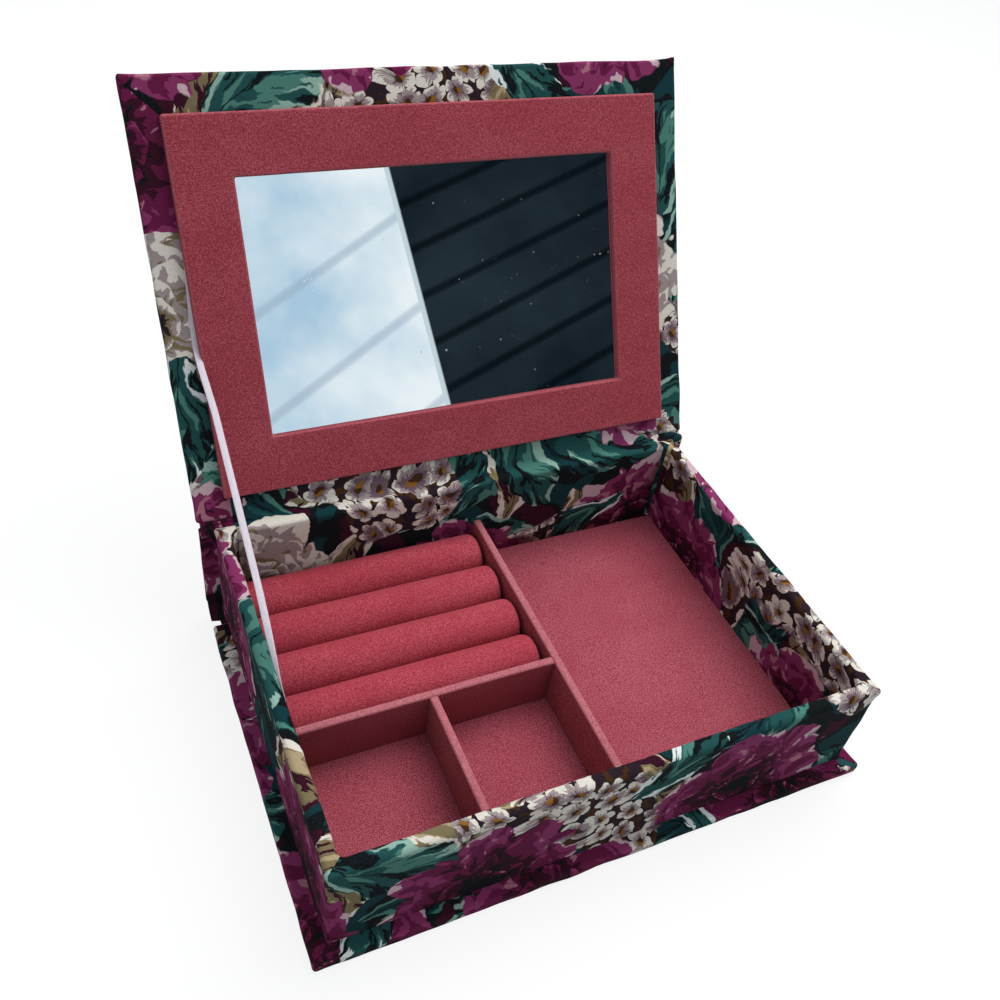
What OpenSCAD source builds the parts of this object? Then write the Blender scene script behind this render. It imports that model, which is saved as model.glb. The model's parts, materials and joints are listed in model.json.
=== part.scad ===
// Vanity box with a mirror in its lid: a clamshell case of cloth-covered boards round a deep tray.
// Millimetres. +X is the box's right, its front faces -Y, +Z is up.
// The origin is on the underside, in the middle of the closed case's footprint.

/* [Tray] */
// outside width of the tray
tray_w = 220; // [190:1:260]
// outside depth of the tray
tray_d = 158.5; // [140:0.5:200]
// height of the tray's walls above the base
tray_h = 47; // [42:1:70]
// thickness of the wall boards
wall_board_t = 4; // [2:0.5:5]
// rounding of the cloth over the rim
rim_round = 1.2; // [0.8:0.1:1.4]
// rounding of the cloth in the tray's inner corners
inner_corner = 3; // [2:0.5:5]
// thickness of the card that closes the tray from below
floor_card_t = 1; // [0.6:0.1:2]

/* [Case] */
// overhang of the base and the lid past the tray's sides
case_side = 6.5; // [4:0.5:10]
// overhang of the base past the tray's front
case_front = 6; // [4:0.5:10]
// thickness of the base board
base_board_t = 3.8; // [3:0.1:5]
// how far the base board stops short of the tray's back
base_set_back = 10.4; // [9:0.1:14]
// thickness of the spine board
spine_board_t = 1.6; // [1.2:0.1:3]
// thickness of the lid board
lid_board_t = 3; // [2:0.5:4]
// length of the lid from its hinge edge to its front edge
lid_len = 167.7; // [167.7:0.1:168.7]
// corner rounding of the base and the lid
case_corner = 1.5; // [1.5:0.1:4]
// edge rounding of the base and the lid
case_edge = 1.2; // [0.8:0.1:1.4]
// radius of the cloth joint between the base and the spine
joint_r = 8; // [7:0.5:9]
// how far that cloth stops short of the case's sides
joint_short = 2.3; // [0:0.1:4]
// angle between the closed lid and the lid held by its ribbon
lid_open = 117.2; // [100:0.1:125]
// gap between the spine's outer face and the lid's axis
hinge_gap = 0.3; // [0.2:0.1:1]
// height of the lid's axis over the rim
hinge_rise = 1.6; // [1.2:0.1:3]

/* [Cloth] */
// thickness of the printed cloth
cloth_t = 0.5; // [0.4:0.05:0.6]
// width of the cloth turned in over the edges of a board
turn_in = 18; // [15:1:22]
// thickness of the inner cloth across the hinge
liner_t = 0.4; // [0.3:0.05:0.5]
// margin of the inner hinge cloth at the tray's sides
liner_margin = 3; // [3:0.5:10]

/* [Suede lining] */
// thickness of the suede
suede_t = 0.6; // [0.4:0.1:0.8]
// thickness of the padded floor linings
lining_t = 0.8; // [0.6:0.1:1.5]
// thickness of a covered divider
divider_t = 3.4; // [2.8:0.1:5]
// height of the dividers above the base
divider_h = 25.5; // [18:0.5:30]
// left face of the long divider, from the middle of the tray
long_divider_x = 4.5; // [-20:0.5:25]
// front face of the cross divider, from the middle of the case
cross_divider_y = -10.95; // [-20:0.05:0]
// left face of the short divider, from the middle of the tray
short_divider_x = -49.7; // [-70:0.1:-30]

/* [Ring rolls] */
// number of ring rolls
roll_count = 4; // [3:1:5]
// thickness of the foam bed under the rolls
bed_t = 2.6; // [2:0.1:4]
// flattening of a roll's underside on the bed
roll_sink = 0.35; // [0.2:0.05:1]
// rounding of a roll's ends
roll_end = 4; // [2:0.1:5]
// gap between a roll's right end and the long divider
roll_end_gap = 1.6; // [0.5:0.1:4]

/* [Mirror panel] */
// width of the panel
panel_w = 207; // [180:0.5:208]
// start of the panel from the lid's hinge edge
panel_v0 = 9; // [8.9:0.1:12]
// end of the panel from the lid's hinge edge
panel_v1 = 154; // [140:0.5:155]
// thickness of the panel
panel_t = 4; // [3.6:0.1:5]
// corner rounding of the panel
panel_corner = 2; // [1.5:0.1:4]
// width of the mirror seen in the window
window_w = 162; // [120:0.5:165]
// lower edge of the window from the lid's hinge edge
window_v0 = 31.5; // [28:0.5:40]
// upper edge of the window from the lid's hinge edge
window_v1 = 131; // [110:0.5:132]
// lap of the frame over the mirror's edge
mirror_lap = 4; // [2:0.5:6]
// thickness of the mirror glass
mirror_t = 2; // [1.5:0.1:2.2]

/* [Ribbon stay] */
// width of the ribbon
ribbon_w = 3; // [2:0.5:3]
// thickness of the ribbon
ribbon_t = 0.3; // [0.2:0.05:0.4]
// where the ribbon leaves the lid, from the hinge edge
ribbon_v = 70; // [65:1:100]
// right edge of the ribbon on the lid, from the middle of the box
ribbon_lid_x = -103.9; // [-105:0.1:-103.7]
// how far the ribbon swings in over the tray beyond the mirror panel
ribbon_swing = 1; // [0:0.1:1.5]
// length over which the ribbon turns its flat side to the tray's wall
ribbon_twist = 40; // [30:1:60]
// half of the ribbon's length that lies flat on the tray's wall
ribbon_tab = 14; // [8:1:20]

/* [Hidden] */
$fn = 48;
reach = 20;
wall_t = wall_board_t + 2 * cloth_t;
base_t = base_board_t + 2 * cloth_t;
spine_t = spine_board_t + 2 * cloth_t;
lid_t = lid_board_t + 2 * cloth_t;
case_w = tray_w + 2 * case_side;
case_d = case_front + tray_d + spine_t + hinge_gap;
case_y0 = -case_d / 2;
tray_y0 = case_y0 + case_front;
tray_y1 = tray_y0 + tray_d;
tray_mid_y = (tray_y0 + tray_y1) / 2;
base_y1 = tray_y1 - base_set_back;
spine_y1 = tray_y1 + spine_t;
rim_z = base_t + tray_h;
pivot_y = spine_y1 + hinge_gap;
pivot_z = rim_z + hinge_rise;
lid_turn = 180 - lid_open;

inner_w = tray_w - 2 * wall_t;
inner_d = tray_d - 2 * wall_t;
inner_x = inner_w / 2;
inner_y0 = tray_y0 + wall_t;
inner_y1 = tray_y1 - wall_t;
lined_y1 = inner_y1 - liner_t;
card_z = base_t + floor_card_t;
divider_z = base_t + divider_h;
cross_divider_y1 = cross_divider_y + divider_t;

bed_z = card_z + bed_t;
roll_pitch = (lined_y1 - cross_divider_y1) / roll_count;
roll_r = roll_pitch / 2 - 0.1;
roll_z = bed_z + roll_r - roll_sink;
roll_x0 = -inner_x + 0.4;
roll_len = long_divider_x - roll_end_gap - roll_x0;

joint_z = joint_r + 0.5;
hinge_cloth_w = case_w - 2 * cloth_t;
hinge_cloth_z = rim_z - 4;
hinge_cloth_v = 4;
hinge_fold_r = 1.5;

mirror_w = window_w + 2 * mirror_lap;
mirror_v0 = window_v0 - mirror_lap;
mirror_v1 = window_v1 + mirror_lap;
mirror_n1 = mirror_t - cloth_t;
frame_board_n1 = panel_t - suede_t;
panel_edge = 1;

printed = [0.42, 0.33, 0.36];
crimson = [0.56, 0.22, 0.27];
board_grey = [0.62, 0.58, 0.52];
silver = [0.78, 0.82, 0.86];
lilac = [0.86, 0.84, 0.92];
foam = [0.9, 0.87, 0.8];

// ---- plates and profiles

// a rectangle with rounded corners round the origin
module rounded_rect(w, d, r) {
    square([w - 2 * r, d], center = true);
    square([w, d - 2 * r], center = true);
    for (x = [-1, 1], y = [-1, 1])
        translate([x * (w / 2 - r), y * (d / 2 - r)])
            circle(r);
}

// a plate from z = 0 up, with rounded corners and rounded edges
module soft_board(w, d, t, corner, edge) {
    intersection() {
        translate([0, 0, -1])
            linear_extrude(t + 2)
                rounded_rect(w, d, corner);
        translate([0, d / 2 + 1, t / 2])
            rotate([90, 0, 0])
                linear_extrude(d + 2)
                    rounded_rect(w, t, edge);
        translate([-w / 2 - 1, 0, t / 2])
            rotate([90, 0, 90])
                linear_extrude(w + 2)
                    rounded_rect(d, t, edge);
    }
}

// a profile drawn as (y, z), pulled along X and centred there
module along_x(length) {
    translate([-length / 2, 0, 0])
        rotate([90, 0, 90])
            linear_extrude(length)
                children();
}

// section of an upright wall whose top edges are rounded
module wall_section(t, h, r) {
    square([t, h - r]);
    translate([r, 0])
        square([t - 2 * r, h]);
    for (y = [r, t - r])
        translate([y, h - r])
            circle(r);
}

// ---- base and spine

module base_blank(inset) {
    front = case_y0 + inset;
    depth = base_y1 + reach - front;
    intersection() {
        translate([0, front + depth / 2, inset])
            soft_board(case_w - 2 * inset, depth, base_t - 2 * inset,
                       case_corner - inset, case_edge - inset);
        translate([-case_w, case_y0 - 1, -1])
            cube([2 * case_w, base_y1 - case_y0 + 1, base_t + 2]);
    }
}

module base_board() {
    color(board_grey)
        base_blank(cloth_t);
}

module base_cover() {
    color(printed)
        difference() {
            base_blank(0);
            base_blank(cloth_t);
            translate([-case_w / 2 + turn_in, case_y0 + turn_in, base_t - 2 * cloth_t])
                cube([case_w - 2 * turn_in, case_d, 3 * cloth_t]);
        }
}

module base_joint_cloth() {
    centre_y = spine_y1 - joint_r;
    color(printed)
        along_x(case_w - 2 * joint_short) {
            translate([base_y1, 0])
                square([centre_y - base_y1, cloth_t]);
            intersection() {
                translate([centre_y, joint_r])
                    difference() {
                        circle(joint_r);
                        circle(joint_r - cloth_t);
                    }
                translate([centre_y, 0])
                    square([joint_r, joint_r]);
            }
            translate([spine_y1 - cloth_t, joint_r])
                square([cloth_t, joint_z - joint_r]);
        }
}

module spine_blank(inset) {
    translate([0, (tray_y1 + spine_y1) / 2, joint_z + inset])
        linear_extrude(rim_z - joint_z - 2 * inset)
            rounded_rect(case_w - 2 * inset, spine_t - 2 * inset, 0.8 - inset);
}

module spine_board() {
    color(board_grey)
        spine_blank(cloth_t);
}

module spine_cover() {
    color(printed)
        difference() {
            spine_blank(0);
            spine_blank(cloth_t);
            translate([-case_w / 2 + turn_in, tray_y1 - 1, joint_z + turn_in / 2])
                cube([case_w - 2 * turn_in, 1 + 1.5 * cloth_t, rim_z - joint_z - turn_in]);
            translate([-hinge_cloth_w / 2, spine_y1 - cloth_t, hinge_cloth_z])
                cube([hinge_cloth_w, 2, reach]);
        }
}

// ---- tray

module tray_boards(which) {
    h = tray_h - cloth_t;
    long = tray_w - 2 * cloth_t;
    short = tray_d - 2 * (cloth_t + wall_board_t);
    if (which == "front" || which == "all")
        translate([-long / 2, tray_y0 + cloth_t, base_t])
            cube([long, wall_board_t, h]);
    if (which == "back" || which == "all")
        translate([-long / 2, tray_y1 - cloth_t - wall_board_t, base_t])
            cube([long, wall_board_t, h]);
    if (which == "left" || which == "all")
        translate([-long / 2, tray_mid_y - short / 2, base_t])
            cube([wall_board_t, short, h]);
    if (which == "right" || which == "all")
        translate([long / 2 - wall_board_t, tray_mid_y - short / 2, base_t])
            cube([wall_board_t, short, h]);
}

module tray_front_board() {
    color(board_grey)
        tray_boards("front");
}

module tray_back_board() {
    color(board_grey)
        tray_boards("back");
}

module tray_left_board() {
    color(board_grey)
        tray_boards("left");
}

module tray_right_board() {
    color(board_grey)
        tray_boards("right");
}

// a covered wall along X, outer face on y = 0, mitred at both ends
module mitred_wall(length) {
    intersection() {
        along_x(length)
            wall_section(wall_t, tray_h, rim_round);
        linear_extrude(tray_h + 1)
            polygon([
                [-length / 2, 0],
                [length / 2, 0],
                [length / 2 - wall_t, wall_t],
                [-length / 2 + wall_t, wall_t]
            ]);
    }
}

module tray_corner_fold() {
    h = tray_h - rim_round;
    for (x = [-1, 1], y = [-1, 1])
        translate([x * inner_w / 2, y * inner_d / 2, 0])
            difference() {
                translate([-inner_corner / 2 * (x + 1), -inner_corner / 2 * (y + 1), 0])
                    cube([inner_corner, inner_corner, h]);
                translate([-x * inner_corner, -y * inner_corner, -1])
                    cylinder(h = h + 2, r = inner_corner);
            }
}

module tray_skin() {
    intersection() {
        union() {
            for (side = [-1, 1]) {
                translate([0, side * tray_d / 2, 0])
                    rotate([0, 0, 90 + side * 90])
                        mitred_wall(tray_w);
                translate([side * tray_w / 2, 0, 0])
                    rotate([0, 0, side * 90])
                        mitred_wall(tray_d);
            }
            tray_corner_fold();
        }
        linear_extrude(tray_h + 1)
            rounded_rect(tray_w, tray_d, rim_round);
    }
}

module floor_card() {
    x = inner_x + cloth_t;
    translate([-x, inner_y0 - cloth_t, base_t])
        cube([2 * x, inner_d + 2 * cloth_t, floor_card_t]);
}

module tray_cover() {
    color(printed)
        difference() {
            translate([0, tray_mid_y, base_t])
                tray_skin();
            tray_boards("all");
            floor_card();
        }
}

module tray_floor_card() {
    color(board_grey)
        floor_card();
}

// a sheet on the tray's card between two corners, cut to the tray's rounded inner corners
module floor_sheet(from, to, t) {
    translate([0, 0, card_z])
        linear_extrude(t)
            intersection() {
                translate(from)
                    square(to - from);
                translate([0, tray_mid_y])
                    rounded_rect(inner_w, inner_d, inner_corner);
            }
}

module large_floor_lining() {
    color(crimson)
        floor_sheet([long_divider_x + divider_t, inner_y0], [inner_x, lined_y1], lining_t);
}

module small_floor_lining_left() {
    color(crimson)
        floor_sheet([-inner_x, inner_y0], [short_divider_x, cross_divider_y], lining_t);
}

module small_floor_lining_right() {
    color(crimson)
        floor_sheet([short_divider_x + divider_t, inner_y0], [long_divider_x, cross_divider_y],
                    lining_t);
}

module ring_bed() {
    color(foam)
        floor_sheet([-inner_x, cross_divider_y1], [long_divider_x, lined_y1], bed_t);
}

// ---- dividers

// a divider along X from the origin: its suede, or the board inside it
module divider(length, part) {
    h = divider_z - card_z;
    board_t = divider_t - 2 * suede_t;
    board_h = h - suede_t;
    translate([0, 0, card_z])
        if (part == "board")
            translate([0, suede_t, 0])
                cube([length, board_t, board_h]);
        else
            translate([length / 2, 0, 0])
                along_x(length)
                    difference() {
                        wall_section(divider_t, h, 1);
                        translate([suede_t, -1])
                            square([board_t, board_h + 1]);
                    }
}

module long_divider(part) {
    translate([long_divider_x + divider_t, inner_y0, 0])
        rotate([0, 0, 90])
            divider(lined_y1 - inner_y0, part);
}

module cross_divider(part) {
    translate([-inner_x, cross_divider_y, 0])
        divider(long_divider_x + inner_x, part);
}

module short_divider(part) {
    translate([short_divider_x + divider_t, inner_y0, 0])
        rotate([0, 0, 90])
            divider(cross_divider_y - inner_y0, part);
}

module long_divider_board() {
    color(board_grey)
        long_divider("board");
}

module long_divider_cover() {
    color(crimson)
        long_divider("suede");
}

module cross_divider_board() {
    color(board_grey)
        cross_divider("board");
}

module cross_divider_cover() {
    color(crimson)
        cross_divider("suede");
}

module short_divider_board() {
    color(board_grey)
        short_divider("board");
}

module short_divider_cover() {
    color(crimson)
        short_divider("suede");
}

// ---- ring rolls

// one roll, drawn smaller on every side by inset; its underside is flat on the bed
module roll(place, inset) {
    r = roll_r - inset;
    length = roll_len - 2 * inset;
    end = roll_end - inset;
    y = lined_y1 - roll_pitch * (place - 0.5);
    intersection() {
        translate([roll_x0 + inset, y, roll_z])
            rotate([0, 90, 0])
                rotate_extrude() {
                    square([r - end, length]);
                    translate([0, end])
                        square([r, length - 2 * end]);
                    for (z = [end, length - end])
                        translate([r - end, z])
                            circle(end);
                }
        translate([roll_x0 - 1, y - roll_r - 1, bed_z + inset])
            cube([roll_len + 2, 2 * roll_r + 2, 2 * roll_r]);
    }
}

module roll_core(place) {
    color(foam)
        roll(place, suede_t);
}

module roll_cover(place) {
    color(crimson)
        difference() {
            roll(place, 0);
            roll(place, suede_t);
        }
}

// ---- inner cloth over the spine and down the tray's back wall

module hinge_liner_tray() {
    round_out = rim_round + liner_t;
    far_y = spine_y1 - 0.6;
    color(printed)
        along_x(inner_w - 2 * liner_margin)
            difference() {
                translate([lined_y1, card_z])
                    liner_blank(far_y - lined_y1, rim_z + liner_t - card_z, round_out);
                translate([inner_y1, card_z - 1])
                    liner_blank(far_y, rim_z - card_z + 1, rim_round);
            }
}

// section with one rounded corner, over the tray's inner edge
module liner_blank(w, h, r) {
    square([w, h - r]);
    translate([r, 0])
        square([w - r, h]);
    translate([r, h - r])
        circle(r);
}

// ---- ribbon stay: taut from the lid's left margin to the tray's left wall

function lid_point(x, v, n) = [
    x,
    pivot_y + v * cos(lid_turn) - n * sin(lid_turn),
    pivot_z + v * sin(lid_turn) + n * cos(lid_turn)
];

ribbon_top = lid_point(0, ribbon_v, 0);
ribbon_foot = [0, tray_y0 + 62, base_t + 40];
ribbon_run = norm(ribbon_foot - ribbon_top);
ribbon_way = (ribbon_foot - ribbon_top) / ribbon_run;
ribbon_side = cross(ribbon_way, [1, 0, 0]);
ribbon_flat = ribbon_run - ribbon_tab;
ribbon_clear = 8;
ribbon_lead = 20;
ribbon_stations = [
    0,
    ribbon_clear,
    ribbon_clear + ribbon_lead,
    for (i = [0:12]) ribbon_flat - ribbon_twist * (1 - i / 12),
    ribbon_run + ribbon_tab
];

function part_of(s, from, length) = max(0, min(1, (s - from) / length));

// how far the ribbon has turned its flat side to the wall, s along it
function ribbon_turn(s) = 90 * part_of(s, ribbon_flat - ribbon_twist, ribbon_twist);

// right edge of the ribbon: beside the panel, then over the tray, then flat on the wall
function ribbon_edge(s) = let (
    over_tray = ribbon_lid_x + ribbon_swing * part_of(s, ribbon_clear, ribbon_lead),
    on_wall = -inner_x + 0.05 + ribbon_t
) over_tray + (on_wall - over_tray) * ribbon_turn(s) / 90;

function ribbon_x(s) = ribbon_edge(s)
    - ribbon_w / 2 * cos(ribbon_turn(s)) - ribbon_t / 2 * sin(ribbon_turn(s));

function ribbon_corner(s, w, t) = let (
    turn = ribbon_turn(s),
    across = cos(turn) * [1, 0, 0] + sin(turn) * ribbon_side,
    out = cross(ribbon_way, across)
) ribbon_w / 2 * w * across + ribbon_t / 2 * t * out;

// the end on the lid is cut along the lid's face
function on_lid_face(p) = p - ribbon_way * (p * lid_normal) / (ribbon_way * lid_normal);
lid_normal = [0, -sin(lid_turn), cos(lid_turn)];

function ribbon_ring(s) = [
    for (c = [[-1, -1], [1, -1], [1, 1], [-1, 1]])
        let (p = ribbon_corner(s, c[0], c[1]))
            [ribbon_x(s), ribbon_top[1], ribbon_top[2]] + ribbon_way * s
                + (s == 0 ? on_lid_face(p) : p)
];

module ribbon_stay() {
    rings = len(ribbon_stations);
    last = 4 * (rings - 1);
    color(lilac)
        polyhedron(
            points = [for (s = ribbon_stations) each ribbon_ring(s)],
            faces = concat(
                [[0, 1, 2, 3], [last + 3, last + 2, last + 1, last]],
                [
                    for (i = [0:rings - 2], k = [0:3], half = [0, 1])
                        let (a = 4 * i + k, b = 4 * i + (k + 1) % 4)
                            half == 0 ? [a, a + 4, b] : [b, a + 4, b + 4]
                ]
            )
        );
}

// ---- lid, drawn closed on its face: y along the lid from the hinge, z out of its inner face

module on_lid() {
    translate([0, pivot_y, pivot_z])
        rotate([lid_turn, 0, 0])
            children();
}

module lid_blank(inset) {
    translate([0, lid_len / 2, -lid_t + inset])
        soft_board(case_w - 2 * inset, lid_len - 2 * inset, lid_t - 2 * inset,
                   case_corner - inset, case_edge - inset);
}

module lid_board() {
    color(board_grey)
        on_lid()
            lid_blank(cloth_t);
}

module lid_cover() {
    color(printed)
        on_lid()
            difference() {
                lid_blank(0);
                lid_blank(cloth_t);
                translate([-case_w / 2 + turn_in, turn_in, -1.5 * cloth_t])
                    cube([case_w - 2 * turn_in, lid_len - 2 * turn_in, 2 * cloth_t]);
                translate([-hinge_cloth_w / 2, -1, -lid_t - 1])
                    cube([hinge_cloth_w, hinge_cloth_v + 1, lid_t + 1 - cloth_t]);
            }
}

module hinge_liner_lid() {
    x = inner_x - liner_margin;
    color(printed)
        on_lid()
            translate([-x, 0.6, 0])
                cube([2 * x, panel_v0 - 0.7, liner_t]);
}

function beside(p, gap) = [
    for (i = [0:len(p) - 1])
        let (u = p[min(i + 1, len(p) - 1)] - p[max(i - 1, 0)])
            p[i] + gap * [-u[1], u[0]] / norm(u)
];

function reversed(p) = [for (i = [len(p) - 1:-1:0]) p[i]];

function arc(centre, r, from, to, steps) = [
    for (i = [0:steps])
        let (a = from + (to - from) * i / steps)
            centre + r * [cos(a), sin(a)]
];

function lid_yz(v, n) = let (p = lid_point(0, v, n)) [p[1], p[2]];

// the outer cloth: up the spine, folded at the lid's axis, round the lid's hinge edge
module lid_hinge_cloth() {
    half_t = cloth_t / 2;
    spine_y = spine_y1 - half_t;
    fold_v = half_t - hinge_fold_r;
    fold_n = (pivot_y + fold_v * cos(lid_turn) - spine_y - hinge_fold_r) / sin(lid_turn);
    round_v = case_edge;
    round_n = case_edge - lid_t;
    round_r = case_edge - half_t + 0.02;
    path = concat(
        [[spine_y, hinge_cloth_z]],
        arc(lid_yz(fold_v, fold_n), hinge_fold_r, 180, lid_turn, 8),
        [for (p = arc([round_v, round_n], round_r, 180, 270, 6)) lid_yz(p[0], p[1])],
        [lid_yz(hinge_cloth_v, half_t - lid_t)]
    );
    color(printed)
        along_x(hinge_cloth_w)
            polygon(concat(beside(path, half_t), reversed(beside(path, -half_t))));
}

// ---- mirror panel

panel_mid = (panel_v0 + panel_v1) / 2;
panel_len = panel_v1 - panel_v0;
window_mid = (window_v0 + window_v1) / 2;
window_len = window_v1 - window_v0;

module panel_plan(inset) {
    translate([0, panel_mid])
        rounded_rect(panel_w - 2 * inset, panel_len - 2 * inset, panel_corner - inset);
}

module window_plan(grow) {
    translate([0, window_mid])
        square([window_w + 2 * grow, window_len + 2 * grow], center = true);
}

module mirror_plan() {
    translate([-mirror_w / 2, mirror_v0])
        square([mirror_w, mirror_v1 - mirror_v0]);
}

module mirror_spacer() {
    color(board_grey)
        on_lid()
            linear_extrude(mirror_n1)
                difference() {
                    panel_plan(suede_t);
                    mirror_plan();
                }
}

module mirror_glass() {
    color(silver)
        on_lid()
            translate([0, 0, -cloth_t])
                linear_extrude(mirror_t)
                    mirror_plan();
}

module frame_board_shape() {
    translate([0, 0, mirror_n1])
        linear_extrude(frame_board_n1 - mirror_n1)
            difference() {
                panel_plan(suede_t);
                window_plan(suede_t);
            }
}

module mirror_frame_board() {
    color(board_grey)
        on_lid()
            frame_board_shape();
}

// cuts the rounding off one edge of the window; the edge runs along X
module window_edge_cut(length) {
    r = panel_edge;
    intersection() {
        along_x(length + 2 * r)
            difference() {
                square([r, r]);
                translate([r, 0])
                    circle(r);
            }
        linear_extrude(r)
            polygon([
                [-length / 2, 0],
                [length / 2, 0],
                [length / 2 + r, r],
                [-length / 2 - r, r]
            ]);
    }
}

module mirror_frame_cover() {
    color(crimson)
        on_lid()
            difference() {
                intersection() {
                    translate([0, panel_mid, -panel_t])
                        soft_board(panel_w, panel_len, 2 * panel_t, panel_corner, panel_edge);
                    linear_extrude(panel_t + 1)
                        panel_plan(-1);
                }
                translate([0, 0, -1])
                    linear_extrude(mirror_n1 + 1)
                        panel_plan(suede_t);
                frame_board_shape();
                linear_extrude(panel_t + 1)
                    window_plan(0);
                translate([0, window_mid, panel_t - panel_edge])
                    for (side = [-1, 1]) {
                        translate([0, side * window_len / 2, 0])
                            rotate([0, 0, 90 - side * 90])
                                window_edge_cut(window_w);
                        translate([side * window_w / 2, 0, 0])
                            rotate([0, 0, -side * 90])
                                window_edge_cut(window_len);
                    }
            }
}

base_board();
base_cover();
base_joint_cloth();
spine_board();
spine_cover();
tray_front_board();
tray_back_board();
tray_left_board();
tray_right_board();
tray_cover();
tray_floor_card();
large_floor_lining();
small_floor_lining_left();
small_floor_lining_right();
ring_bed();
long_divider_board();
long_divider_cover();
cross_divider_board();
cross_divider_cover();
short_divider_board();
short_divider_cover();
roll_core(1);  // ring_roll_core_1
roll_core(2);  // ring_roll_core_2
roll_core(3);  // ring_roll_core_3
roll_core(4);  // ring_roll_core_4
roll_cover(1);  // ring_roll_cover_1
roll_cover(2);  // ring_roll_cover_2
roll_cover(3);  // ring_roll_cover_3
roll_cover(4);  // ring_roll_cover_4
hinge_liner_tray();
ribbon_stay();
lid_board();
lid_cover();
lid_hinge_cloth();
hinge_liner_lid();
mirror_spacer();
mirror_glass();
mirror_frame_board();
mirror_frame_cover();
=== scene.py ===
"""Vanity box with a mirror in its lid: a cloth-covered case, a suede-lined tray and a ribbon stay.

Pieces are drawn in millimetres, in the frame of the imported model, and put into the scene in metres.
"""

import json
import math

import bmesh
import bpy
from mathutils import Matrix, Vector, noise
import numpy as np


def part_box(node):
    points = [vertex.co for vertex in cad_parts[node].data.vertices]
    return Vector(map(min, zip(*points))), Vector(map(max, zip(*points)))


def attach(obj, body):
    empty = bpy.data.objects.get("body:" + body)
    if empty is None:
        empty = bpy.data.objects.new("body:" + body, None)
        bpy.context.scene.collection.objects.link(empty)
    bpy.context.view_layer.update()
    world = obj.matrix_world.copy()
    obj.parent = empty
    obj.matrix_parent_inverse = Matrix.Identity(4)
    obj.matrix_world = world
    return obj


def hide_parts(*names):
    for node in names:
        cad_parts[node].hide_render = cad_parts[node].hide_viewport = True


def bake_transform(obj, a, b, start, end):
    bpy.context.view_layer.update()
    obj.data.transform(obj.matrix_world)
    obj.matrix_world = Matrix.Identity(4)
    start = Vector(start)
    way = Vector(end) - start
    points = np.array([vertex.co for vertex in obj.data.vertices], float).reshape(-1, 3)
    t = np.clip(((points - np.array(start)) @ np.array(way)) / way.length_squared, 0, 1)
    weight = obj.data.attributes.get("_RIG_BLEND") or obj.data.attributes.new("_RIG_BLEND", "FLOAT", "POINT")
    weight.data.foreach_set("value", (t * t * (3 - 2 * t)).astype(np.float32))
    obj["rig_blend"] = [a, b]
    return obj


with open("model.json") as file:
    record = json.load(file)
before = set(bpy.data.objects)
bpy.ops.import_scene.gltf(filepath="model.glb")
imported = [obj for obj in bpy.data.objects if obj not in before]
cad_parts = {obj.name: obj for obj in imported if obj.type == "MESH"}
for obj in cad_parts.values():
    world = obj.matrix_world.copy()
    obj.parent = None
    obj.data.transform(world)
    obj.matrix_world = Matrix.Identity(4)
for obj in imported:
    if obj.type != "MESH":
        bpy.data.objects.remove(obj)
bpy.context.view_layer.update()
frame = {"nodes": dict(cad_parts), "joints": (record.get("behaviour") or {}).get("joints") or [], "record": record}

MM = 0.001
TURN = 2 * math.pi


def node_box(name):
    """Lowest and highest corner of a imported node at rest, in millimetres."""
    low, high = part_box(name)
    return low / MM, high / MM


# ---- sizes, in millimetres

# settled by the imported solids
BASE_LOW, BASE_HIGH = node_box("base_cover")
TRAY_LOW, TRAY_HIGH = node_box("tray_cover")
SPINE_LOW, SPINE_HIGH = node_box("spine_cover")
PIVOT = Vector(frame["joints"][0]["pos_m"]) / MM
BASE_T = BASE_HIGH.z - BASE_LOW.z
CASE_W = BASE_HIGH.x - BASE_LOW.x
RIM_Z = TRAY_HIGH.z
CARD_Z = node_box("tray_floor_card")[1].z
WALL_T = 5.0
INNER_X = TRAY_HIGH.x - WALL_T
INNER_BACK = TRAY_HIGH.y - WALL_T

# cloth: its thickness, the rounding it gives the boards, and the depth of a groove between two folds
CLOTH_T = 0.5
LINER_T = 0.4
LINER_MARGIN = 3.0
BASE_CORNER = 1.5
LID_CORNER = 1.0
SPINE_EDGE = 0.8
CASE_EDGE = 1.2
INNER_CORNER = 3.0
RIM_ROUND = 1.2
SOFT_RIM = 1.8
GROOVE = 0.35
# how far the back cloth stops short of the case's sides, under the base and over the spine
JOINT_SHORT = 3.6
FOLD_SHORT = 0.5
# steepness past which a face counts as lying on top, or below
FACES_UP = 0.64
FACES_DOWN = -0.7

# lid: x to the right, v from its hinge edge, n out of its inner face
LID_T = 4.0
LID_LEN = 167.7
LID_LEAN = 62.8
ON_LID = Matrix.Translation(PIVOT) @ Matrix.Rotation(math.radians(LID_LEAN), 4, "X")
PANEL_V0, PANEL_V1 = 9.0, 154.0
WINDOW_V0, WINDOW_V1 = 31.5, 131.0
WINDOW_HALF_W = 81.0
FRAME_HALF_W = 103.95
FRAME_X = -0.55
FRAME_T = 4.0

# ribbon: across and through, where it lies, and the lengths of its stretches
RIBBON_W, RIBBON_T = 2.7, 0.3
RIBBON_TOP = ON_LID @ Vector((0.0, 70.0, 0.15))
RIBBON_FOOT = Vector((0.0, TRAY_LOW.y + 62.0, BASE_T + 40.0))
RIBBON_LID_X = -103.9
RIBBON_SWING = 1.0
RIBBON_CLEAR, RIBBON_LEAD = 8.0, 20.0
RIBBON_TWIST = 40.0
RIBBON_TAB = 14.0
RIBBON_UNDER = 34.0
RIBBON_DRIFT = 2.2


# ---- material tools

def dye(code):
    """A colour written as its six-digit screen code, as linear values."""
    parts = [int(code[i:i + 2], 16) / 255 for i in (0, 2, 4)]
    return (*[c / 12.92 if c <= 0.04045 else ((c + 0.055) / 1.055) ** 2.4 for c in parts], 1.0)


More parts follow.
